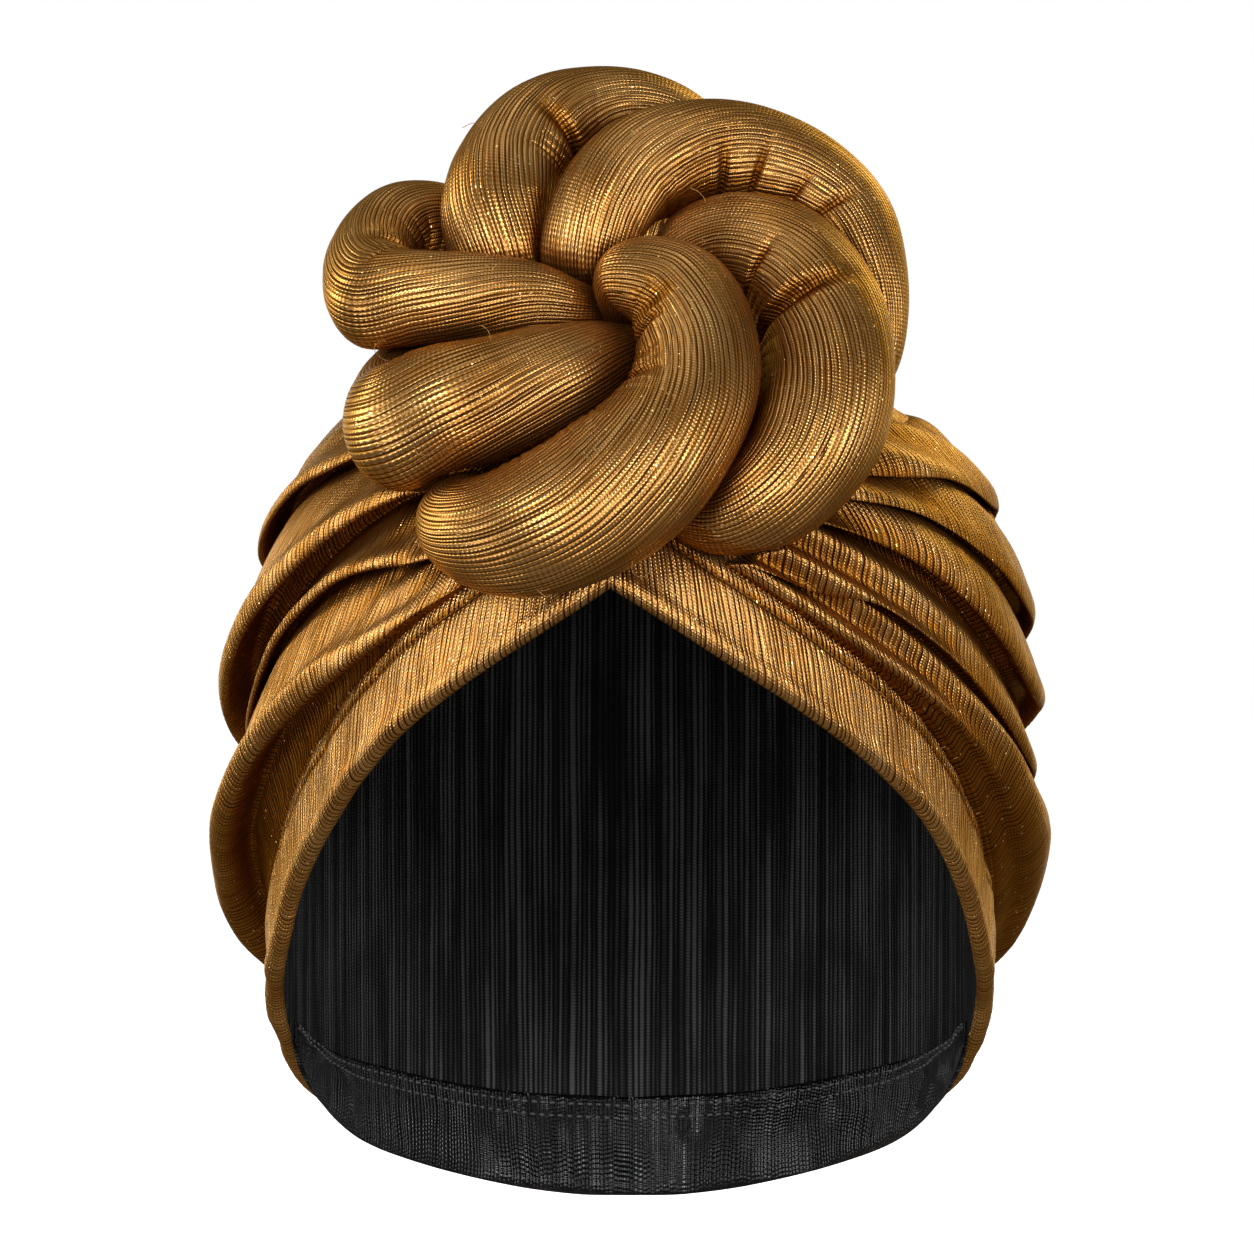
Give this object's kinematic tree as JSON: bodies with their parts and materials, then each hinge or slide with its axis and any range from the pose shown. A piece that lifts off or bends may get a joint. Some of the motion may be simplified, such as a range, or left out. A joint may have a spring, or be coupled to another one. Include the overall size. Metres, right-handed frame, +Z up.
{
  "type": "turban hat",
  "caption": "Draped crinkled metallic turban hat with a padded knot over the forehead and a black lining cap, held in its worn shape.",
  "frame": {"origin": "where the wearer's head bears on the inside of the crown", "axes": "+Z up, -Y the way the face opening looks, +X the wearer's left"},
  "size_m": [0.1939, 0.2288, 0.2616],
  "materials": {
    "black_cloth": "black ribbed jersey",
    "gold_cloth": "crinkle-pleated bronze gold lame, satin sheen",
    "knot_cloth": "crinkle-pleated bronze gold lame over padding, satin sheen"
  },
  "bodies": {
    "root": {"inner_cap": "black_cloth", "nape_hem": "black_cloth", "hem_band_left": "gold_cloth", "hem_band_right": "gold_cloth", "drape_left": "gold_cloth", "drape_right": "gold_cloth", "knot_roll_front": "knot_cloth", "knot_roll_right": "knot_cloth", "knot_roll_lower_left": "knot_cloth", "knot_roll_upper_left": "knot_cloth", "knot_roll_top_back": "knot_cloth", "knot_roll_top_right": "knot_cloth"}
  },
  "joints": []
}
